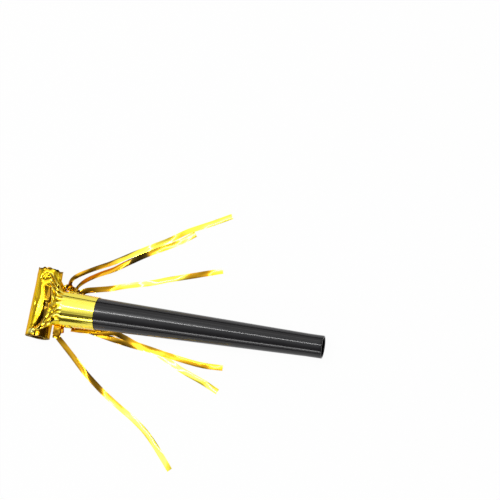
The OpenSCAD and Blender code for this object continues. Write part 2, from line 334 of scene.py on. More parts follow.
def grown_piece(name, tree, sizes, finish):
    """An object whose mesh a geometry nodes tree makes from the sizes given to its inputs."""
    piece = put(name, bpy.data.meshes.new(name))
    modifier = piece.modifiers.new("grown", "NODES")
    modifier.node_group = tree
    values = {**sizes, "Finish": finish}
    for item in tree.interface.items_tree:
        if item.item_type == "SOCKET" and item.in_out == "INPUT":
            modifier[item.identifier] = values[item.name]
    return piece


def add_wall(piece, thickness_mm, offset):
    """Gives a skin its thickness."""
    wall = piece.modifiers.new("wall", "SOLIDIFY")
    wall.thickness = thickness_mm * MM
    wall.offset = offset


def face_outward(mesh, middle_z):
    """Turns a skin's faces away from a middle height."""
    if sum(p.normal.z * (p.center.z - middle_z) for p in mesh.polygons) < 0:
        mesh.flip_normals()


def skin_faces(first, rings, count):
    """Quads between rings of points that follow each other from a first one."""
    faces = []
    for k in range(rings - 1):
        for j in range(count):
            a, b = first + k * count + j, first + k * count + (j + 1) % count
            faces.append((a, a + count, b + count, b))
    return faces


def closed_faces(first, rings, count):
    """The quads between rings, and a face over each end."""
    last = first + (rings - 1) * count
    ends = [tuple(range(first, first + count)), tuple(reversed(range(last, last + count)))]
    return skin_faces(first, rings, count) + ends


def even_course(points, step):
    """Even points, about a step apart, on a smooth curve through the given ones, and the run to each."""
    knots = [Vector(p) for p in points]
    knots = [knots[0] * 2 - knots[1], *knots, knots[-1] * 2 - knots[-2]]
    fine = []
    for a, b, c, d in zip(knots, knots[1:], knots[2:], knots[3:]):
        for k in range(24):
            t = k / 24
            fine.append(0.5 * (
                2 * b + (c - a) * t + (2 * a - 5 * b + 4 * c - d) * t ** 2 + (3 * b - a - 3 * c + d) * t ** 3
            ))
    fine.append(knots[-2])
    runs = runs_along(fine)
    count = max(2, round(runs[-1] / step))
    spots = np.linspace(0, runs[-1], count + 1)
    coordinates = np.array([tuple(p) for p in fine])
    even = np.stack([np.interp(spots, runs, coordinates[:, k]) for k in range(3)], axis=1)
    return [Vector(p) for p in even], spots


def runs_along(points):
    """The length run so far at each point."""
    return np.concatenate([[0], np.cumsum([(q - p).length for p, q in zip(points, points[1:])])])


# Streamers: limp ribbons of film, laid on the table

CUFF_FRONT_X = -63.0
# Where each streamer leaves the cuff, and its course, with x counted from the cuff's front
ROOTS = [
    (-60.697, -13.416, 7.969), (-60.197, 9.586, 9.565), (-58.448, 9.198, 6.92), (-57.448, 8.139, 4.274),
    (-58.448, -11.497, 3.272), (-57.448, -8.977, 0.635),
]
COURSES = [
    [(-0.5, -14.5, 7.5), (-1, -17, 6.5), (2.5, -20.5, 5), (9, -26.5, 3.2), (16, -33, 1.8), (23, -38.5, 0.9),
     (30, -43.5, 0.4), (39, -49, 0.4), (47.5, -54, 0.4), (55.5, -59.5, 0.4), (62.5, -66, 0.4),
     (68.5, -72.5, 0.4), (73.5, -78, 0.4)],
    [(1, 12, 9), (1.5, 15.5, 8), (5, 19, 6.6), (12, 23.5, 5), (21, 28.5, 3.5), (31, 35, 2), (41.5, 41, 1.2),
     (49.5, 45.5, 1), (59.5, 52, 1), (71.5, 58, 0.6), (82, 63.5, 0.4)],
    [(5, 12, 6.5), (8.5, 16.5, 5), (14.5, 20.8, 3.6), (21.5, 24.8, 2.2), (27, 28.8, 1.2), (33.5, 33.2, 0.5),
     (41, 37.7, 0.4), (49.5, 42, 0.4), (57, 46.3, 0.4), (63.5, 51, 0.4)],
    [(9, 10.8, 3.6), (15, 12.5, 2.4), (22, 14.3, 1.3), (29.5, 16.8, 0.6), (37, 18.8, 0.4), (45, 21, 0.4),
     (52.5, 23.6, 0.4), (60, 25.8, 0.4), (67.5, 28, 0.4), (75, 30.3, 0.4), (82.5, 32.5, 0.4)],
    [(11, -11.2, 2.2), (17, -10.6, 1.5), (23, -9.9, 1.2), (29, -10, 1.1), (35, -11.6, 1.1), (42, -14.2, 1.1),
     (50.5, -15.8, 1), (59.5, -17.4, 0.9), (71.5, -19.2, 0.6), (81.5, -20.2, 0.4), (92, -20, 0.4)],
    [(13, -10.4, 0.4), (21, -11.9, 0.4), (30, -13.6, 0.4), (39.5, -15, 0.4), (50, -16.2, 0.4), (56, -18, 0.4),
     (66.5, -23, 0.4), (73.5, -25.8, 0.4), (83, -29.3, 0.4), (91.5, -33, 0.4)],
]
LENGTHS = [103.15, 101.29, 74.15, 81.3, 88.82, 89.88]
RIBBON_WIDTH = 3.1
RIBBON_THICKNESS = 0.14
RIBBON_SIDES = 7
# Roll of each ribbon about its own course, in degrees, at shares of its length
ROLLS = [
    [(0, 15), (0.12, 12), (0.3, -6), (0.38, -17), (0.46, -4), (0.6, 6), (0.8, -6), (0.9, 4), (1, 8)],
    [(0, -40), (0.1, -18), (0.25, -20), (0.4, -8), (0.55, 6), (0.62, 8), (0.8, -10), (1, 5)],
    [(0, -50), (0.1, -20), (0.25, -16), (0.4, -6), (0.5, 22), (0.6, 20), (0.68, -4), (0.85, 8), (1, 3)],
    [(0, 30), (0.1, 10), (0.25, 4), (0.35, -6), (0.5, 3), (0.6, -5), (0.72, 6), (0.8, 14), (0.88, 10),
     (1, -4)],
    [(0, -25), (0.12, -8), (0.25, 10), (0.32, 26), (0.4, 10), (0.6, 4), (0.72, 12), (0.78, -4), (0.84, 12),
     (0.9, -4), (1, 6)],
    [(0, -20), (0.15, -6), (0.3, 14), (0.38, 22), (0.45, 2), (0.65, -2), (0.82, 5), (1, -3)],
]
# Painted reflections along each ribbon, at shares of its length: how far its tone has turned, 0 is pale, 1 is
# amber and 2 is dark
REFLECTION_TONES = [
    [(0, 1.1), (0.1, 0.9), (0.28, 0.9), (0.36, 1.6), (0.41, 1.5), (0.46, 0.9), (0.54, 0.35), (0.7, 0.1),
     (1, 0.0)],
    [(0, 1.2), (0.1, 0.95), (0.28, 1.0), (0.34, 0.3), (0.5, 0.0), (0.62, 0.1), (0.7, 0.9), (0.78, 0.1),
     (1, 0.0)],
    [(0, 1.7), (0.08, 1.5), (0.14, 0.95), (0.38, 0.9), (0.44, 1.1), (0.47, 2.0), (0.6, 2.0), (0.63, 0.9),
     (1, 0.4)],
    [(0, 1.4), (0.1, 1.2), (0.26, 1.0), (0.32, 0.1), (0.6, 0.0), (0.72, 0.1), (0.78, 1.1), (0.9, 1.0),
     (1, 0.2)],
    [(0, 1.0), (0.15, 0.9), (0.26, 1.2), (0.3, 1.9), (0.36, 1.8), (0.4, 0.9), (0.7, 0.8), (0.85, 1.2),
     (1, 0.7)],
    [(0, 1.1), (0.2, 0.9), (0.3, 1.5), (0.38, 1.6), (0.44, 0.2), (0.62, 0.0), (0.68, 0.0), (0.85, 0.1),
     (1, 0.1)],
]


def ribbon_rings(middle, rolled, cups, width):
    """Rings of a thin flat ribbon round a course, rolled, cupped and above the table, and their middles."""
    rings, centre = [], []
    for k, spot in enumerate(middle):
        along = (middle[min(k + 1, len(middle) - 1)] - middle[max(k - 1, 0)]).normalized()
        level = Vector((0, 0, 1)).cross(along).normalized()
        square = along.cross(level)
        across = level * math.cos(rolled[k]) + square * math.sin(rolled[k])
        facing = square * math.cos(rolled[k]) - level * math.sin(rolled[k])
        lift = abs(across.z) * width / 2 + RIBBON_THICKNESS / 2 + abs(cups[k]) + 0.05
        spot = Vector((spot.x, spot.y, max(spot.z, lift)))
        centre.append(spot)
        ring = []
        for side in (1, -1):
            for j in range(RIBBON_SIDES):
                wide = (j / (RIBBON_SIDES - 1) * 2 - 1) * side
                edge = RIBBON_THICKNESS / 2 * (0.45 if j in (0, RIBBON_SIDES - 1) else 1)
                rise = cups[k] * (wide * wide - 0.4) + side * edge
                ring.append(spot + across * wide * width / 2 + facing * rise)
        rings.append(ring)
    return rings, centre


def ribbon_piece(name, rings, material, tone_and_painted_light):
    """Closed mesh from rings of points."""
    points = [p for ring in rings for p in ring]
    return settle(make_piece(name, points, closed_faces(0, len(rings), len(rings[0])), material, tone_and_painted_light), 40)


def make_streamer(number, root, course, rolls, tones):
    """One ribbon: thin, a little cupped, rolling about its course and never below the table."""
    points = [root] + [(CUFF_FRONT_X + x, y, z) for x, y, z in course]
    middle, runs = even_course(points, 0.6)
    share = runs / runs[-1]
    smooth = np.interp(share, *zip(*rolls))
    smooth = np.convolve(np.pad(smooth, 9, mode="edge"), np.ones(19) / 19, mode="valid")
    phase = random.Random(70 + number).uniform(0, 6)
    rolled = np.radians(smooth + 3.5 * np.sin(runs / 4.3 + phase) + 1.5 * np.sin(runs / 1.7 + phase * 2))
    rings, centre = ribbon_rings(middle, rolled, 0.16 * np.sin(runs / 9 + phase), RIBBON_WIDTH)
    # Painted reflections: the ribbon's tone along its length
    tone_and_painted_light = np.repeat(np.interp(share, *zip(*tones)), len(rings[0]))
    return ribbon_piece(f"streamer_film_{number}", rings, STREAMER_FILM, tone_and_painted_light), centre


for number, (root, course, rolls, tones, length) in enumerate(zip(ROOTS, COURSES, ROLLS, REFLECTION_TONES, LENGTHS), 1):
    streamer, centre = make_streamer(number, root, course, rolls, tones)
    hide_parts(f"streamer_{number}")
    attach(streamer, "horn")

# Horn tube: a tapered tube with a straight lip

MOUTH = Vector((82.0, -2.0, 6.0977))
TILT = math.radians(1.5593987578)
TUBE_WALL = 0.9
RIM_RADIUS = 0.32
HORN_SIZES = {
    "Mouth Radius": 6.1 * MM,
    "Head Radius": 9.1 * MM,
    "Lip Length": 8.0 * MM,
    "Tube Length": 144.0 * MM,
    "Rings": 72,
    "Sides": 128,
}


def on_axis(distance, radius, turn):
    """A point at a distance from the mouth and an angle round the tilted axis, in millimetres."""
    side, up = radius * math.cos(turn), radius * math.sin(turn)
    return (
        MOUTH.x - distance * math.cos(TILT) + up * math.sin(TILT),
        MOUTH.y + side,
        MOUTH.z + distance * math.sin(TILT) + up * math.cos(TILT),
    )


def growing_tree(name, sizes):
    """An empty geometry nodes tree with the sizes and the material as its inputs."""
    return new_tree("GeometryNodeTree", name, {**sizes, "Finish": "Material"}, {"Geometry": "Geometry"})


def end_tree(tree, given, end, grown):
    """Makes what has grown real, gives it its material and hands it over."""
    real = node(tree, "GeometryNodeRealizeInstances", {0: grown})
    finished = node(tree, "GeometryNodeSetMaterial", {"Geometry": real, "Material": given["Finish"]})
    feed(tree, end, {0: finished})
    return tree


def horn_tree():
    """Geometry nodes for the tube's outer skin: a line along -X whose radius grows past the lip."""
    tree, given, end = growing_tree("horn skin", HORN_SIZES)
    far = node(tree, "ShaderNodeCombineXYZ", {"X": maths(tree, "MULTIPLY", given["Tube Length"], -1.0)})
    line = node(tree, "GeometryNodeCurvePrimitiveLine", {"End": far})
    even = node(tree, "GeometryNodeResampleCurve", {"Curve": line, "Count": given["Rings"]})
    radius = node(tree, "ShaderNodeMapRange", {
        "Value": node(tree, "GeometryNodeSplineParameter").outputs["Length"],
        "From Min": given["Lip Length"],
        "From Max": given["Tube Length"],
        "To Min": given["Mouth Radius"],
        "To Max": given["Head Radius"],
    })
    ring = node(tree, "GeometryNodeCurvePrimitiveCircle", {"Radius": 1.0, "Resolution": given["Sides"]})
    skin = node(tree, "GeometryNodeCurveToMesh", {"Curve": even, "Profile Curve": ring, "Scale": radius})
    return end_tree(tree, given, end, skin)


def make_horn():
    """The tube: its skin from the tree, then a wall and softened rims."""
    piece = settle(grown_piece("horn_body", horn_tree(), HORN_SIZES, HORN_PLASTIC))
    face_outward(piece.data, 0)
    add_wall(piece, TUBE_WALL, -1)
    rim = piece.modifiers.new("rim", "BEVEL")
    rim.width = RIM_RADIUS * MM
    rim.segments = 4
    rim.limit_method = "ANGLE"
    rim.angle_limit = math.radians(50)
    settle(piece, 35)
    piece.data.transform(Matrix.Translation(MOUTH * MM) @ Matrix.Rotation(TILT, 4, "Y"))
    return piece


horn = make_horn()
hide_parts("horn_tube")
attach(horn, "horn")

# Creases of the film: one net of folds and facets over the sheet, measured along it from the cuff's front

NECK_LENGTH = 12.0
SHEET_HALF = 19.25
SHEET_TOP = 13.9622
FILM = 0.12
FOIL_THICKNESS = 0.5


class FacetNet:
    """Heights at points, joined by flat triangles, so that film made from it has straight creases."""

    def __init__(self, points, folds):
        spots = [(a, b) for a, b, _ in points]
        heights = [h for _, _, h in points]
        edges = []
        for fold in folds:
            edges += [(k, k + 1) for k in range(len(spots), len(spots) + len(fold) - 1)]
            spots += [(a, b) for a, b, _ in fold]
            heights += [h for _, _, h in fold]
        corners, _, faces, sources, *_ = delaunay_2d_cdt([Vector(spot) for spot in spots], edges, [], 0, 1e-6)
        self.corners = np.array([tuple(corner) for corner in corners])
        given = np.array(spots, np.float32).astype(float)
        self.heights = np.array([
            heights[source[0] if source else np.argmin(((corner - given) ** 2).sum(1))]
            for corner, source in zip(self.corners, sources)
        ])
        self.triangles = np.array([face for face in faces if len(face) == 3])

    def at(self, a, b):
        """Heights at many places, zero outside the net."""
        result = np.zeros(len(a))
        for i, j, k in self.triangles:
            p, q, r = self.corners[i], self.corners[j], self.corners[k]
            inside = (a >= min(p[0], q[0], r[0]) - 1e-6) & (a <= max(p[0], q[0], r[0]) + 1e-6)
            inside &= (b >= min(p[1], q[1], r[1]) - 1e-6) & (b <= max(p[1], q[1], r[1]) + 1e-6)
            area = (q[0] - p[0]) * (r[1] - p[1]) - (r[0] - p[0]) * (q[1] - p[1])
            if not inside.any() or abs(area) < 1e-9:
                continue
            x, y = a[inside], b[inside]
            u = ((x - p[0]) * (r[1] - p[1]) - (r[0] - p[0]) * (y - p[1])) / area
            v = ((q[0] - p[0]) * (y - p[1]) - (x - p[0]) * (q[1] - p[1])) / area
            ok = (u >= -1e-6) & (v >= -1e-6) & (u + v <= 1 + 1e-6)
            values = self.heights[i] * (1 - u - v) + self.heights[j] * u + self.heights[k] * v
            result[np.flatnonzero(inside)[ok]] = values[ok]
        return result


class Relief:
    """A net's heights on an even grid, with the corners of its creases a little rounded."""

    def __init__(self, net, low, high, step, passes):
        self.low, self.step = low, step
        rows, columns = (int(round((high[k] - low[k]) / step)) + 1 for k in (0, 1))
        a, b = np.meshgrid(low[0] + np.arange(rows) * step, low[1] + np.arange(columns) * step, indexing="ij")
        grid = net.at(a.ravel(), b.ravel()).reshape(rows, columns)
        for _ in range(passes):
            wide = np.pad(grid, ((1, 1), (0, 0)), mode="edge")
            grid = (wide[:-2] + 2 * wide[1:-1] + wide[2:]) / 4
            wide = np.pad(grid, ((0, 0), (1, 1)), mode="edge")
            grid = (wide[:, :-2] + 2 * wide[:, 1:-1] + wide[:, 2:]) / 4
        self.grid = grid

    def at(self, a, b):
        """Heights at many places, between the four nearest points of the grid."""
        row = np.clip((np.asarray(a) - self.low[0]) / self.step, 0, self.grid.shape[0] - 1.001)
        column = np.clip((np.asarray(b) - self.low[1]) / self.step, 0, self.grid.shape[1] - 1.001)
        i, j = row.astype(int), column.astype(int)
        u, v = row - i, column - j
        first = self.grid[i, j] * (1 - v) + self.grid[i, j + 1] * v
        second = self.grid[i + 1, j] * (1 - v) + self.grid[i + 1, j + 1] * v
        return first * (1 - u) + second * u


def scattered(chance, low, high, spacing, height, keep_away):
    """Jittered points with chance heights, none closer to a fold than the spacing allows."""
    found = []
    a = low[0]
    while a <= high[0]:
        b = low[1]
        while b <= high[1]:
            gap = spacing(a)
            spot = (a + chance.uniform(-0.35, 0.35) * gap, b + chance.uniform(-0.35, 0.35) * gap)
            if all((spot[0] - c[0]) ** 2 + (spot[1] - c[1]) ** 2 > (0.45 * gap) ** 2 for c in keep_away):
                found.append((*spot, height(*spot) * chance.uniform(-1, 1)))
            b += gap
        a += spacing(a)
    return found


# The crest across the neck, the dark valley and the rise behind it, the stripes along the roll, the pleats
# that fan out from the cuff and the swirl at the far +Y corner. Each place is the distance from the cuff's
# front, the place across, and a height above the plain sheet.
CREST = [
    (15.4, -17.9, 0.5), (13.6, -17.0, 0.8), (11.8, -15.9, 0.95), (10.0, -14.4, 1.15), (8.4, -12.0, 1.35),
    (6.9, -8.8, 1.5), (6.0, -5.6, 1.45), (5.6, -3.0, 1.3), (6.5, -1.3, 1.7),
]
TIP = [(3.4, -2.6, 0.9), (4.9, -1.9, 1.35)]
RIGHT_ARM = [
    (3.2, -2.0, 0.6), (4.2, 0.8, 1.2), (5.1, 3.6, 1.5), (6.0, 6.4, 1.6), (6.9, 9.0, 1.5), (8.0, 10.6, 0.9),
]
VALLEY = [
    (15.6, -15.9, 0.1), (13.2, -15.2, -0.1), (11.2, -13.9, -0.2), (9.6, -11.8, -0.3), (8.1, -8.8, -0.35),
    (7.1, -5.6, -0.35), (6.7, -3.1, -0.35), (7.4, -0.9, -0.35), (5.8, 0.8, -0.35), (6.4, 3.6, -0.35),
    (7.3, 6.4, -0.3), (8.4, 8.6, -0.15),
]
RISE = [
    (13.2, -13.4, 0.9), (11.9, -11.6, 1.3), (10.7, -8.6, 1.45), (10.1, -5.4, 1.5), (10.0, -2.4, 1.5),
    (10.2, 0.8, 1.4), (10.6, 4.4, 1.3), (11.1, 7.6, 1.2), (11.5, 9.6, 0.9),
]
STRIPES = [
    [(12.4, -12.5, 0.87), (11.5, -8.6, 1.27), (11.0, -4.0, 1.3), (11.2, 0.8, 1.2), (11.6, 4.6, 1.1),
     (12.1, 8.6, 0.87)],
    [(13.1, -12.8, 0.92), (12.3, -8.4, 1.4), (11.9, -3.6, 1.42), (12.0, 1.2, 1.32), (12.3, 4.8, 1.2),
     (12.7, 9.0, 0.93)],
    [(14.3, -13.2, 0.85), (13.3, -8.0, 1.3), (12.8, -2.0, 1.35), (12.9, 4.0, 0.9), (13.6, 9.4, 0.75)],
    [(15.0, -14.0, 0.5), (14.0, -7.0, 0.9), (13.8, 0.0, 0.85), (13.9, 6.0, 0.6), (14.4, 10.4, 0.5)],
    [(15.4, -15.0, 0.5), (14.6, -6.0, 0.98), (14.4, 1.0, 0.9), (14.7, 8.0, 0.6), (15.2, 11.6, 0.5)],
    [(16.0, -15.6, 0.2), (15.5, -6.0, 0.45), (15.4, 4.0, 0.42), (15.7, 11.0, 0.25)],
    [(16.5, -15.2, 0.22), (16.2, -5.0, 0.55), (16.1, 4.0, 0.5), (16.4, 12.0, 0.3)],
    [(17.3, -16.0, 0.0), (17.0, -5.0, 0.15), (17.0, 6.0, 0.15), (17.1, 13.0, 0.05)],
    [(17.8, -16.0, 0.1), (17.7, 0.0, 0.24), (17.8, 15.0, 0.12)],
    [(18.7, -18.0, 0.0), (18.6, 0.0, 0.06), (18.7, 17.0, 0.0)],
]
PLEATS = [
    [(15.6, -18.7, 0.245), (9.6, -15.9, 0.455), (1.0, -9.4, 0.21)],
    [(8.4, -14.2, -0.21), (1.0, -7.8, -0.14)],
    [(7.4, -12.0, 0.63), (0.4, -6.2, 0.14)],
    [(5.8, -9.2, -0.28), (0.8, -4.7, -0.14)],
    [(4.8, -6.4, 0.63), (0.2, -3.3, 0.07)],
    [(3.4, -4.0, -0.28), (0.5, -2.0, -0.14)],
    [(2.6, -1.2, 0.56), (0.1, 0.1, 0.07)],
    [(3.2, 0.9, -0.28), (0.4, 1.1, -0.14)],
    [(4.0, 2.7, 0.56), (0.2, 2.0, 0.105)],
    [(4.8, 5.0, -0.28), (0.6, 2.9, -0.14)],
    [(6.3, 8.2, 0.77), (0.3, 3.7, 0.105)],
    [(7.5, 10.7, -0.28), (0.8, 4.7, -0.14)],
    [(8.8, 12.8, 0.7), (0.4, 5.6, 0.14)],
    [(8.9, 14.4, -0.28), (1.0, 6.7, -0.14)],
    [(9.0, 15.9, 0.56), (0.8, 7.7, 0.14)],
    [(7.8, 16.8, -0.21), (1.6, 9.0, -0.14)],
]
SWIRL = [
    [(11.4, 14.6, 0.6), (12.6, 14.5, 0.8), (13.4, 13.3, 0.7), (13.2, 12.0, 0.8), (12.2, 11.4, 0.6)],
    [(11.6, 13.6, -0.2), (12.4, 13.5, -0.2), (12.5, 12.6, -0.1)],
    [(11.4, 15.5, 0.0), (12.8, 15.4, 0.1), (14.0, 14.5, 0.1), (14.3, 12.8, 0.15)],
    [(10.6, 16.3, 0.5), (12.6, 16.4, 0.5), (14.6, 15.6, 0.4), (15.3, 13.6, 0.5)],
    [(9.6, 17.4, 0.4), (12.6, 18.1, 0.3), (15.6, 17.7, 0.3)],
]
SHEET_FOLDS = [CREST, TIP, RIGHT_ARM, VALLEY, RISE, *STRIPES, *PLEATS, *SWIRL]
SHEET_END = 118.0
NEAR_END = 26


def facet_height(a, b):
    """How deep the loose facets are at a place: most between cuff and crest, and at the crushed +Y end."""
    if a < 1.0:
        return 0.05
    if a < 9.5:
        return 0.1
    return 0.2 if b > 14.5 else 0.04


def facet_spacing(a):
    """The size of the loose facets at a distance from the cuff."""
    if a < 9.5:
        return 2.3
    return 3.0 if a < 40 else 4.5


def sheet_net():
    """The sheet's folds, with loose facets round them but none where the pleats and the crest are."""
    folded = [p[:2] for fold in SHEET_FOLDS for p in fold]
    loose = scattered(random.Random(4), (-0.4, -20.5), (SHEET_END, 20.5), facet_spacing, facet_height, folded)
    return FacetNet([p for p in loose if not (0.6 < p[0] < 12.5 and -15 < p[1] < 13)], SHEET_FOLDS)


SHEET_NET = sheet_net()
NEAR_RELIEF = Relief(SHEET_NET, (-0.3, -20.4), (NEAR_END + 0.1, 20.4), 0.15, 3)
FAR_RELIEF = Relief(SHEET_NET, (NEAR_END - 0.8, -20.4), (SHEET_END - 0.4, 20.4), 0.4, 1)


def relief_at(a, b):
    """Height of the sheet's relief at places along and across it."""
    return np.where(np.asarray(a) < NEAR_END, NEAR_RELIEF.at(a, b), FAR_RELIEF.at(a, b))


def gap_to(folds, a, b):
    """Distance from places on the sheet to the nearest of some folds."""
    nearest = np.full(len(b), 99.0)
    for fold in folds:
        for (p, q, _), (r, s, _) in zip(fold, fold[1:]):
            share = np.clip(((a - p) * (r - p) + (b - q) * (s - q)) / ((r - p) ** 2 + (s - q) ** 2), 0, 1)
            nearest = np.minimum(nearest, np.hypot(a - p - (r - p) * share, b - q - (s - q) * share))
    return nearest


# Crushing along the sheet: between cuff and crest, at the +Y end and at the -Y end
NECK_CRUSH = ((0.0, 1.2, 3.0, 6.0, 8.5, 11.0), (0.05, 0.15, 0.25, 0.25, 0.1, 0.03))
RIGHT_CRUSH = ((7, 10, 16, 30), (0.1, 0.7, 0.6, 0.25))
LEFT_CRUSH = ((4, 9, 16, 30), (0.0, 0.3, 0.3, 0.12))
# The window of painted shade behind the crest: its width, the fade of its far edge and its depth, across the
# sheet
WINDOW_WIDTH = ((-16, -12, -8, -4, 0, 3, 9), (0.4, 0.9, 1.7, 2.1, 2.1, 2.5, 2.2))
WINDOW_FADE = ((-2, 3), (1.0, 1.7))
WINDOW_DEPTH = ((-17, -15, -12, -1, 1.5, 8.0, 9.4), (0, 0.8, 1, 1, 0.95, 0.8, 0))
AMBER_RUN = ((0.5, 1.5, 4.5, 5.5), (0, 1, 1, 0))
# Tones of the window's painted shade, of painted shade at the sheet's ends and in the grooves between pleats,
# and of painted highlights on the ridges
WINDOW_SHADE = 1.9
END_SHADE = 1.85
GROOVE_SHADE = 1.15
RIDGE_HIGHLIGHT = -0.9


def crushed(a, b):
    """How crushed the film is at places."""
    neck = np.interp(a, *NECK_CRUSH) * np.clip((8 - np.abs(b)) / 4, 0.25, 1)
    right = np.clip((b - 13) / 4, 0, 1) * np.interp(a, *RIGHT_CRUSH)
    left = np.clip((-14 - b) / 3, 0, 1) * np.interp(a, *LEFT_CRUSH)
    return np.maximum(0.02, np.maximum(neck, np.maximum(right, left)))


def reflection_stripes(a, b):
    """Painted reflections as stripes of deeper tone along the roll, with painted shade deepest on its lower
    turns.
    """
    tone = 0.38 + 0.3 * np.sin(a * 2.4 + 0.5 * np.sin(b * 0.156)) + 0.15 * np.sin(a * 5.3 + b * 0.078)
    return tone + np.interp(a, (16.0, 21.0), (0.0, 0.7))


def tone_at(a, b, plain):
    """The tone at places: painted shade in the window, the grooves and the +Y end, amber in the neck's
    middle, and painted highlights on the crest, ridges and one corner.
    """
    past = a - np.interp(b, [v[1] for v in VALLEY], [v[0] for v in VALLEY])
    width, fade = np.interp(b, *WINDOW_WIDTH), np.interp(b, *WINDOW_FADE)
    # Painted shade: the dark window just past the valley
    dark = np.clip((past + 0.3) / 0.3, 0, 1) * np.clip((width + fade - past) / fade, 0, 1)
    dark *= np.interp(b, *WINDOW_DEPTH)
    amber = np.clip((5.5 - np.abs(b + 1)) / 2, 0, 1) * np.interp(a, *AMBER_RUN)
    tone = np.maximum(plain, 0.55 * amber) * (1 - dark) + WINDOW_SHADE * dark
    crest = gap_to((CREST, TIP, RIGHT_ARM), a, b)
    ridge = gap_to([fold for fold in PLEATS if fold[0][2] > 0], a, b)
    groove = gap_to([fold for fold in PLEATS if fold[0][2] < 0], a, b)
    # The pale corner: a painted highlight on the facet that faces a lamp
    corner = np.clip(1.6 - np.hypot((a - 14.2) / 2.0, (b + 17.2) / 0.9), 0, 1)
    # Painted shade in the grooves between pleats
    tone = np.maximum(tone, GROOVE_SHADE * np.clip(1.3 - groove / 0.45, 0, 1))
    # Painted highlights along the crest, the ridges and the corner
    light = np.maximum(0.8 * np.clip(1.4 - crest / 0.4, 0, 1), 0.8 * np.clip(1.5 - ridge / 0.36, 0, 1))
    light = np.maximum(light, 2 * corner) * (1 - dark)
    tone = tone * np.clip(1 - light, 0, 1) + RIDGE_HIGHLIGHT * light
    # Painted shade at the sheet's +Y end
    return np.where((b > 18.15) & (a > 7.5), END_SHADE, tone)


# Foil sleeve: the cuff round the tube and the neck that gathers from it to the flat sheet

NECK_TABLE_SPAN = 14.63
NECK_SHARES = [0, 0.07, 0.14, 0.21, 0.34, 0.48, 0.6, 0.7, 0.78, 0.88, 1]
# How far its +Y side, -Y side, floor, roof and flatness have come from the cuff to the sheet at those shares
NECK_TABLES = (
    [0, 0.13, 0.32, 0.52, 0.74, 0.87, 0.94, 1, 1, 1, 1],
    [0, 0.01, 0.04, 0.1, 0.23, 0.36, 0.48, 0.58, 0.64, 0.68, 0.7],
    [0, 0.1, 0.5, 0.93, 0.97, 0.98, 0.99, 1, 1, 1, 1],
    [0, 0.05, 0.14, 0.26, 0.5, 0.84, 0.97, 1, 1, 1, 1],
    [0, 0.05, 0.15, 0.3, 0.5, 0.7, 0.85, 1, 1, 1, 1],
)
CUFF_REAR_D = 125.0
CUFF_FRONT_D = 145.0
CUFF_FRONT_R = 9.772
CUFF_REAR_R = 8.981
# The pleats begin this far behind the cuff's front, and run into their full length by the second value
PLEAT_START = -2.0
PLEAT_SETTLED = 1.5
# Rings of the plain part of the cuff, counted from its rear, and of the folded part, counted from its front
PLAIN_RUN = 17.61
PLAIN_STEP = 0.8
FOLDED_START = -2.15
FOLDED_STEP = 0.25
# The smoother film of the cuff begins this far behind its front
CUFF_FILM_START = 1.4
SLEEVE_SIDES = 336
SLEEVE_WALL = 0.1


def flutes(turn, distance):
    """Soft flats and the wrap's lap on the cuff, as a change of radius."""
    degrees = math.degrees(turn) % 360
    lap = 0.10 * (1 / (1 + math.exp((degrees - 63) / 0.8)) - 0.5) * (20 < degrees < 110)
    waves = 0.035 * math.sin(7 * turn + 0.6) + 0.025 * math.sin(11 * turn + distance * 0.05 + 2)
    return lap + waves + 0.02 * math.sin(19 * turn + 1 + distance * 0.11)


def cuff_ring(distance, turns):
    """One ring of the cuff at a distance from the mouth."""
    radius = mix(CUFF_REAR_R, CUFF_FRONT_R, (distance - CUFF_REAR_D) / (CUFF_FRONT_D - CUFF_REAR_D))
    return [on_axis(distance, radius + flutes(t, distance), t) for t in turns]


def neck_ring(a, turns):
    """One plain ring of the neck at a distance from the cuff's front."""
    shares = (float(np.interp(a / NECK_TABLE_SPAN, NECK_SHARES, table)) for table in NECK_TABLES)
    right, left, floor, roof, flat = shares
    middle_z = MOUTH.z + CUFF_FRONT_D * math.sin(TILT)
    roof_z = mix(middle_z + CUFF_FRONT_R, SHEET_TOP, roof)
    floor_z = mix(middle_z - CUFF_FRONT_R, SHEET_TOP - FOIL_THICKNESS, floor)
    power = mix(1, 0.12, flat)
    ring = []
    for turn in turns:
        side, up = math.cos(turn), math.sin(turn)
        reach, spread = (SHEET_HALF + 2, right) if side > 0 else (SHEET_HALF - 2, left)
        z = (roof_z + floor_z) / 2 + (roof_z - floor_z) / 2 * math.copysign(abs(up) ** power, up)
        swell = flutes(turn, CUFF_FRONT_D) * max(0.0, 1 - a / 2.5)
        x = CUFF_FRONT_X - a + (z - middle_z) * math.tan(TILT) * max(0.0, 1 - a / 4)
        y = side * mix(CUFF_FRONT_R, reach, spread) + MOUTH.y
        ring.append((x, y + side * swell, z + up * swell))
    return ring


def under_height(a, b):
    """How deep the loose facets are under the neck: most just past the cuff."""
    return 0.32 if 0.8 < a < 4.2 else 0.03


def under_spacing(a):
    """The size of the loose facets under the neck."""
    return 1.7


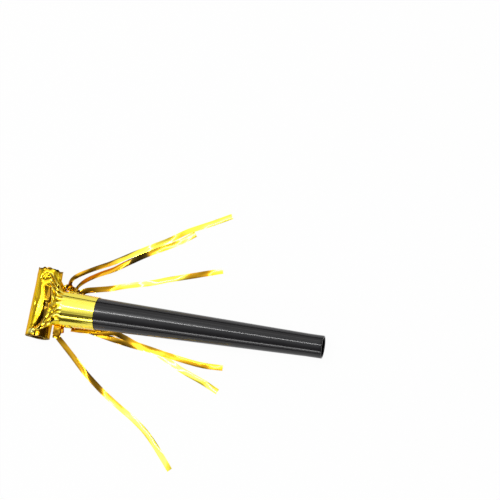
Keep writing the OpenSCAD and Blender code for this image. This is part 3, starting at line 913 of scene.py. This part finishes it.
def make_sleeve():
    """Cuff and neck in one skin, given its folds on top and loose facets below, then its thickness."""
    turns = [2 * math.pi * (j + 0.5) / SLEEVE_SIDES for j in range(SLEEVE_SIDES)]
    rings = [cuff_ring(CUFF_REAR_D + d, turns) for d in np.arange(0, PLAIN_RUN, PLAIN_STEP)]
    on_cuff = np.arange(FOLDED_START, 0, FOLDED_STEP)
    on_neck = np.arange(0.1, NECK_LENGTH - 0.01, FOLDED_STEP)
    under = scattered(random.Random(9), (-0.5, -21), (12.5, 21), under_spacing, under_height, [])
    under_net = FacetNet(under, [])
    tone_and_painted_light = [0.0] * (len(rings) * SLEEVE_SIDES)
    crush = [0.02] * (len(rings) * SLEEVE_SIDES)
    top = np.clip(np.sin(turns), 0, 1)
    bottom = np.clip(-np.sin(turns), 0, 1)
    for step in (*on_cuff, *on_neck, NECK_LENGTH):
        run_in = max(0.0, (step - PLEAT_START) * PLEAT_SETTLED / (PLEAT_SETTLED - PLEAT_START))
        a = np.full(SLEEVE_SIDES, step if step > PLEAT_SETTLED else run_in)
        plain = neck_ring(step, turns) if step > 0 else cuff_ring(CUFF_FRONT_D + step, turns)
        across = np.array([p[1] for p in plain])
        relief = relief_at(a, across) * np.clip(top * 5, 0, 1)
        relief -= np.abs(under_net.at(a, across)) * np.clip(bottom * 4, 0, 1)
        rings.append([(x, y, z + float(rise)) for (x, y, z), rise in zip(plain, relief)])
        # Painted shade in hollows below the plain sheet, and the roll's painted reflection stripes past the
        # rise
        tone = np.maximum(np.clip(-relief * 2.0, 0, 1), np.interp(a, (8.4, 9.6), (0, 1)) * reflection_stripes(a, across))
        tone_and_painted_light += list(np.where(top > 0.05, tone_at(a, across, tone), tone))
        crush += list(crushed(a, across))
    points = [p for ring in rings for p in ring]
    faces = [(a, d, c, b) for a, b, c, d in skin_faces(0, len(rings), SLEEVE_SIDES)]
    piece = make_piece("foil_sleeve", points, faces, GOLD_FILM, tone_and_painted_light, crush)
    piece.data.materials.append(CUFF_FILM)
    for polygon in piece.data.polygons:
        polygon.material_index = 1 if polygon.center.x > (CUFF_FRONT_X + CUFF_FILM_START) * MM else 0
    face_outward(piece.data, 0.01)
    add_wall(piece, SLEEVE_WALL, -1)
    return settle(piece, 60)


sleeve = make_sleeve()
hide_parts("foil_cuff", "foil_neck")
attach(sleeve, "horn")

# Rolled blow-out: the flat foil tube in pieces that bend across their hinges

PANELS = 22
FOLD = 45.0
FIRST_PANEL = 5.799
PANEL_DROP = 0.11
ROLL_X = -75.0
BEND_REACH = 2.2
TUBE_LIP = 0.6
# The outer turns, which show, are made finer: their number, and the flats, bends and columns of both kinds
FINE_HINGES = 9
FINE, COARSE = (4, 14, 130), (2, 8, 56)
TAIL_RUNS = [0.0, 0.3, 0.6, 0.8]
# The spring's section: half its width, and the depths of its two faces under the outer skin
SPRING_HALF = 1.2
SPRING_TOP = 0.22
SPRING_BOTTOM = 0.36


def heading(panel):
    """The way the sheet runs on a panel."""
    turn = math.radians(180 + FOLD * panel)
    return Vector((math.cos(turn), 0, math.sin(turn)))


def outward(direction):
    """The outer side of the sheet where it heads that way."""
    return Vector((direction.z, 0, -direction.x))


def panel_length(panel):
    """A panel's length: each is a little shorter than the one before."""
    return FIRST_PANEL - PANEL_DROP * (panel - 1)


HINGES = [None, Vector((-77.8995, 0, SHEET_TOP))]
for panel in range(1, PANELS + 1):
    HINGES.append(HINGES[panel] + heading(panel) * panel_length(panel))


def bend_rows(hinge, flats, bends):
    """Rows across one hinge, each the outer skin's place and outward direction, and the run to each."""
    back = panel_length(hinge - 1) / 2 if hinge > 1 else ROLL_X - HINGES[1].x
    ahead = panel_length(hinge) / 2
    before, after, corner = heading(hinge - 1), heading(hinge), HINGES[hinge]
    near, far = corner - before * BEND_REACH, corner + after * BEND_REACH
    rows = [(corner - before * mix(back, BEND_REACH, k / flats), outward(before)) for k in range(flats)]
    for k in range(bends + 1):
        t = k / bends
        spot = near * (1 - t) ** 2 + corner * 2 * t * (1 - t) + far * t ** 2
        rows.append((spot, outward(((corner - near) * (1 - t) + (far - corner) * t).normalized())))
    for k in range(1, flats + 1):
        rows.append((corner + after * mix(BEND_REACH, ahead, k / flats), outward(after)))
    runs = runs_along([spot for spot, _ in rows])
    return rows, runs * (back + ahead) / runs[-1]


def flat_tube(name, rows, runs, start_run, columns):
    """The flat foil tube along rows: an outer and an inner loop of points on each, joined at the ends."""
    across = np.linspace(-1, 1, columns)
    wide = across * SHEET_HALF
    points, crush, tone_and_painted_light = [], [], []
    for (spot, out), run in zip(rows, runs):
        run += NECK_LENGTH + start_run
        a = np.full(columns, run)
        bulge = relief_at(a, wide) * np.clip((1 - np.abs(across)) * 25, 0, 1)
        ripple = 0.55 + 0.32 * math.sin(run * 0.83) + 0.2 * math.sin(run * 2.1 + 1)
        ends = (0.15 + 0.1 * math.sin(run * 0.5), ripple)
        outer, inner = [], []
        for side, depth, inside in ((1, 0.0, FILM), (-1, FOIL_THICKNESS, FOIL_THICKNESS - FILM)):
            for at, level in zip(across * side, bulge[::side]):
                lift = level if side > 0 else min(level, 0.12) * 0.5
                half = SHEET_HALF - ends[int(at > 0)]
                outer.append(spot + Vector((0, at * half, 0)) + out * (lift - depth))
                inner.append(spot + Vector((0, at * (half - TUBE_LIP), 0)) + out * (lift - inside))
        points += outer + inner
        level = crushed(a, wide)
        # Painted shade at the tube's open edges; elsewhere the sheet's painted shade, highlights and stripes
        tone = np.where((across > 0.94) | (across < -0.98), END_SHADE, tone_at(a, wide, reflection_stripes(a, wide)))
        crush += [*level, *level[::-1]] * 2
        tone_and_painted_light += [*tone, *tone[::-1]] * 2
    count = columns * 2
    faces = []
    for o in range(0, 2 * count * (len(rows) - 1), 2 * count):
        for j in range(count):
            near, next_near = o + j, o + (j + 1) % count
            far, next_far = near + 2 * count, next_near + 2 * count
            faces.append((near, next_near, next_far, far))
            faces.append((next_near + count, near + count, far + count, next_far + count))
    for o, order in ((0, 1), (2 * count * (len(rows) - 1), -1)):
        for j in range(count):
            near, next_near = o + j, o + (j + 1) % count
            faces.append((near, near + count, next_near + count, next_near)[::order])
    return settle(make_piece(name, points, faces, GOLD_FILM, tone_and_painted_light, crush), 50)


def spring_strip(name, rows):
    """A length of the spring: a thin solid strip along rows."""
    steps = (-1, -0.5, 0.5, 1)
    section = [(at, SPRING_TOP) for at in steps] + [(at, SPRING_BOTTOM) for at in steps[::-1]]
    rings = [
        [spot + Vector((0, at * SPRING_HALF, 0)) - out * level for at, level in section]
        for spot, out in rows
    ]
    return ribbon_piece(name, rings, SPRING_STEEL, [0.0] * len(rings) * len(section))


start_run = 0.0
for hinge in range(1, PANELS + 1):
    flats, bends, columns = FINE if hinge <= FINE_HINGES else COARSE
    rows, runs = bend_rows(hinge, flats, bends)
    corner = HINGES[hinge] * MM
    start = corner - heading(hinge - 1) * BEND_REACH * MM
    foil = flat_tube(f"roll_foil_{hinge:02d}", rows, runs, start_run, columns)
    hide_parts(f"foil_panel_{hinge:02d}")
    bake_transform(foil)
    spring = spring_strip(f"roll_spring_{hinge:02d}", rows)
    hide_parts(f"spring_link_{hinge:02d}")
    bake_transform(spring)
    start_run += runs[-1]

last_way = heading(PANELS)
last_start = HINGES[PANELS] + last_way * panel_length(PANELS) / 2
last_rows = [(last_start + last_way * run, outward(last_way)) for run in TAIL_RUNS]
tail = flat_tube("roll_foil_end", last_rows, TAIL_RUNS, start_run, COARSE[2])
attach(tail, f"turn_{PANELS:02d}")

# Fringe band: the strip that the streamers are cut from, its trimmed strips, and the film at the roots

BAND_FRONT_D = 143.0
BAND_WIDTH = 5.0
BAND_RADIUS = 9.99
BAND_RISE = 2.0
BAND_STEPS = 120
# Places along the band, and how deep each lies in its thickness
BAND_SECTION = [(d, 0) for d in (0, 1.2, 2.5, 3.8, 5)] + [(d, 1) for d in (5, 3.8, 2.5, 1.2, 0)]
BAND_TONE = 0.45
BAND_SIZES = {
    "Strips": 17,
    "Radius": (BAND_RADIUS - 0.16) * MM,
    "Start": math.radians(-188),
    "Sweep": math.radians(196),
    "Strip Width": 1.75 * MM,
    "Strip Length": 4.6 * MM,
    "Unevenness": 0.35 * MM,
    "Seed": 5,
}


def fringe_tree():
    """Geometry nodes for the trimmed strips: short plates round an arc, turned and shifted by chance."""
    tree, given, end = growing_tree("trimmed strips", BAND_SIZES)
    arc = node(tree, "GeometryNodeCurveArc", {
        "Resolution": 96, "Radius": given["Radius"],
        "Start Angle": given["Start"], "Sweep Angle": given["Sweep"],
    })
    spread = node(tree, "GeometryNodeCurveToPoints", {0: arc, "Count": given["Strips"]})
    plate = node(tree, "GeometryNodeMeshGrid", {
        "Vertices X": 5, "Vertices Y": 7, "Size X": given["Strip Width"], "Size Y": given["Strip Length"],
    })
    stand = node(tree, "GeometryNodeTransform", {0: plate, "Rotation": (0, math.radians(90), 0)})
    placed = node(tree, "GeometryNodeInstanceOnPoints", {
        "Points": spread.outputs["Points"], "Rotation": spread.outputs["Rotation"], "Instance": stand,
    })
    limits = {0: (-0.16, -0.1, -0.1), 1: (0.16, 0.1, 0.1), "Seed": given["Seed"]}
    tilt = node(tree, "FunctionNodeRandomValue", limits, data_type="FLOAT_VECTOR")
    turned = node(tree, "GeometryNodeRotateInstances", {"Instances": placed, "Rotation": tilt})
    limits = {3: given["Unevenness"], "Seed": given["Seed"]}
    shift = node(tree, "FunctionNodeRandomValue", limits, data_type="FLOAT").outputs[1]
    offset = node(tree, "ShaderNodeCombineXYZ", {"Y": shift})
    moved = node(tree, "GeometryNodeTranslateInstances", {"Instances": turned, "Translation": offset})
    return end_tree(tree, given, end, moved)


def make_fringe_strips():
    """The trimmed strips, brought from their own plane to the band's place on the axis."""
    piece = grown_piece("fringe_strips", fringe_tree(), BAND_SIZES, STREAMER_FILM)
    add_wall(piece, 0.12, 0)
    settle(piece, 30)
    middle = Vector(on_axis(BAND_FRONT_D - BAND_WIDTH / 2, 0, 0)) * MM
    upright = Matrix(((0, 0, -1), (1, 0, 0), (0, 1, 0))).to_4x4()
    piece.data.transform(Matrix.Translation(middle) @ Matrix.Rotation(TILT, 4, "Y") @ upright)
    bpy.context.view_layer.update()
    return piece


def make_fringe_band():
    """The uncut margin: a thin band under the cuff's front, a little pleated, open at the top."""
    rings = []
    rise = math.asin(BAND_RISE / BAND_RADIUS)
    for k in range(BAND_STEPS + 1):
        turn = mix(math.pi - rise, 2 * math.pi + rise, k / BAND_STEPS)
        ring = []
        for along, deep in BAND_SECTION:
            pleat = 0.05 * math.sin(turn * 23 + along * 0.5) + 0.03 * math.sin(turn * 51 + along)
            radius = BAND_RADIUS - 0.24 + 0.12 * (1 - deep) - 0.035 * along + pleat
            ring.append(Vector(on_axis(BAND_FRONT_D - along, radius, turn)))
        rings.append(ring)
    return ribbon_piece("fringe_wrap", rings, STREAMER_FILM, [BAND_TONE] * len(rings) * len(BAND_SECTION))


def film_loops(name, loops, seed):
    """Short folded lengths of ribbon: each has its own course, width and roll, and may be loose."""
    chance = random.Random(seed)
    points, faces, tone_and_painted_light = [], [], []
    for course, width, roll, loose in loops:
        middle, runs = even_course(course, 0.35)
        swing = chance.uniform(-30, 30) * loose
        rolled = roll + swing * np.sin(runs / runs[-1] * math.pi) + chance.uniform(-12, 12) * loose
        rings, _ = ribbon_rings(middle, np.radians(rolled), 0.2 * np.sin(runs * 1.7 + swing), width)
        faces += closed_faces(len(points), len(rings), len(rings[0]))
        points += [p for ring in rings for p in ring]
        tone_and_painted_light += [chance.uniform(0.8, 1.8) if loose else 0.95] * (len(points) - len(tone_and_painted_light))
    return settle(make_piece(name, points, faces, STREAMER_FILM, tone_and_painted_light), 30)


def root_loops(roots, seed, reach):
    """Loops that leave the band beside each root, bulge out and come back a little further on."""
    chance = random.Random(seed)
    loops = []
    for x, y, z in roots:
        side = 1 if y > MOUTH.y else -1
        for _ in range(6):
            start = Vector((x + chance.uniform(-2.4, 1.6), y - side * 1.3, z + chance.uniform(-1.6, 1.6)))
            out = Vector((
                chance.uniform(-0.8, 1.2), side * reach * chance.uniform(0.7, 1.3), chance.uniform(-1.2, 1.2),
            ))
            back = (chance.uniform(-2.4, 2.4), side * chance.uniform(0, 0.8), chance.uniform(-1.6, 1.6))
            end = start + Vector(back)
            course = [start, start + out * 0.7, (start + end) / 2 + out, end + out * 0.5, end]
            loops.append((course, chance.uniform(1.1, 2.0), chance.uniform(-70, 70), 1))
    return loops


# The tab at the -Y side: two lengths of film, one over the other
TAB = [
    ([(-64.2, -11.0, 9.9), (-64.3, -13.4, 9.5), (-64.4, -16.0, 8.7), (-64.5, -18.2, 7.7)], 4.1, 2, 0),
    ([(-61.6, -11.0, 9.0), (-61.9, -12.6, 8.9), (-62.6, -14.2, 8.6), (-63.4, -16.0, 8.0)], 3.0, 12, 0),
]
wrap = make_fringe_band()
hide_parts("fringe_band")
for made in (wrap, make_fringe_strips()):
    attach(made, "horn")
right_roots = film_loops("streamer_roots_right", root_loops([(-62.4, 9.6, 9.2), *ROOTS[1:4]], 3, 1.5), 21)
left_roots = film_loops("streamer_roots_left", TAB, 22)
for made in (right_roots, left_roots):
    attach(made, "horn")

# Materials of the solids that keep their shape

SOLID_FINISHES = {
    "reed_holder": REED_PLASTIC,
    "reed_clamp": REED_PLASTIC,
    "reed_tongue": TONGUE_PLASTIC,
    "spring_link": SPRING_STEEL,
    "tip_seal": GOLD_FILM,
}
for name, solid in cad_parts.items():
    for start, finish in SOLID_FINISHES.items():
        if name.startswith(start):
            for slot_in_use in solid.material_slots:
                slot_in_use.material = finish

# Floor, world and lamps

FLOOR_HALF = 30.0
FLOOR_SEEN = 0.97
FLOOR_MIRRORED = 0.62
DOME_LEAN = Vector((-0.35, 0.08, 0.93))
DOME_STEPS = (
    (0.0, (0.06, 0.05, 0.04)), (0.6, (0.03, 0.018, 0.01)), (0.79, (0.03, 0.02, 0.012)),
    (0.85, (0.12, 0.10, 0.09)), (0.9, (0.24, 0.23, 0.22)), (0.94, (0.45, 0.45, 0.45)),
    (0.97, (0.85, 0.86, 0.88)), (1.0, (1.0, 1.0, 1.0)),
)


def make_floor():
    """A pale floor that stays white in the picture and paler in reflections, and keeps a soft shadow."""
    mesh = bpy.data.meshes.new("floor")
    corners = [(x * FLOOR_HALF, y * FLOOR_HALF, 0) for x, y in ((-1, -1), (1, -1), (1, 1), (-1, 1))]
    mesh.from_pydata(corners, [], [(0, 1, 2, 3)])
    floor = put("floor", mesh)
    settings = {"Base Color": (0.9, 0.9, 0.9, 1), "Roughness": 0.9, "Specular IOR Level": 0.1}
    material, tree, shader = blank_material("white floor", settings)
    rays = node(tree, "ShaderNodeLightPath").outputs
    mirrored = maths(tree, "MAXIMUM", rays["Is Glossy Ray"], rays["Is Transmission Ray"])
    straight = maths(tree, "MULTIPLY", rays["Is Camera Ray"], FLOOR_SEEN)
    seen = maths(tree, "MAXIMUM", straight, maths(tree, "MULTIPLY", mirrored, FLOOR_MIRRORED))
    glow = node(tree, "ShaderNodeEmission", {"Color": (1, 1, 1, 1), "Strength": 1.0})
    both = node(tree, "ShaderNodeMixShader", {0: seen, 1: shader, 2: glow})
    feed(tree, tree.nodes["Material Output"], {"Surface": both})
    mesh.materials.append(material)


def make_world():
    """A studio dome: bright overhead and behind the roll, dim toward the horizon and the mouth's side."""
    world = bpy.data.worlds.new("studio")
    bpy.context.scene.world = world
    world.use_nodes = True
    tree = world.node_tree
    where = node(tree, "ShaderNodeTexCoord").outputs["Generated"]
    toward = {0: where, 1: DOME_LEAN.normalized()}
    lean = node(tree, "ShaderNodeVectorMath", toward, operation="DOT_PRODUCT").outputs["Value"]
    ramp = node(tree, "ShaderNodeValToRGB", {"Fac": maths(tree, "MULTIPLY_ADD", lean, 0.5, 0.5)})
    elements = ramp.color_ramp.elements
    while len(elements) < len(DOME_STEPS):
        elements.new(0.5)
    for element, (position, tint) in zip(elements, DOME_STEPS):
        element.position = position
        element.color = (*tint, 1)
    parts = node(tree, "ShaderNodeSeparateXYZ", {0: where})
    behind = node(tree, "ShaderNodeMapRange", {
        "Value": parts, "From Min": -0.35, "From Max": -1.0, "To Min": 0.0, "To Max": 0.35,
    }, clamp=True)
    total = node(tree, "ShaderNodeVectorMath", {0: ramp, 1: behind}, operation="ADD")
    feed(tree, tree.nodes["Background"], {"Color": total, "Strength": 1.0})


def lamp(name, place, aim, size, power):
    """A soft rectangular lamp that points at a place."""
    data = bpy.data.lights.new(name, "AREA")
    data.shape = "RECTANGLE"
    data.size, data.size_y = size
    data.energy = power
    made = put(name, data)
    made.location = place
    made.rotation_mode = "QUATERNION"
    made.rotation_quaternion = (Vector(aim) - Vector(place)).to_track_quat("-Z", "Y")


make_floor()
make_world()
lamp("overhead softbox", (-0.33, 0.12, 1.1), (0, 0, 0), (0.7, 0.15), 0.95)
lamp("long lamp, -Y side", (-0.27, -0.83, 0.50), (-0.02, 0, 0), (0.9, 0.13), 2.8)
lamp("overhead strip", (-0.3, 0.18, 1.1), (0, 0.18, 0), (0.05, 1.0), 4.2)
lamp("soft lamp, +Y side", (-0.3, 0.6, 0.85), (-0.02, 0, 0), (0.9, 0.5), 1.1)
lamp("low softbox, +Y side", (-0.1, 1.1, 0.6), (0, 0, 0), (0.9, 0.7), 1.5)
lamp("low softbox, -Y side", (-0.2, -1.3, 0.45), (0, 0, 0), (0.9, 0.4), 1)
bpy.context.scene.view_settings.view_transform = "Standard"
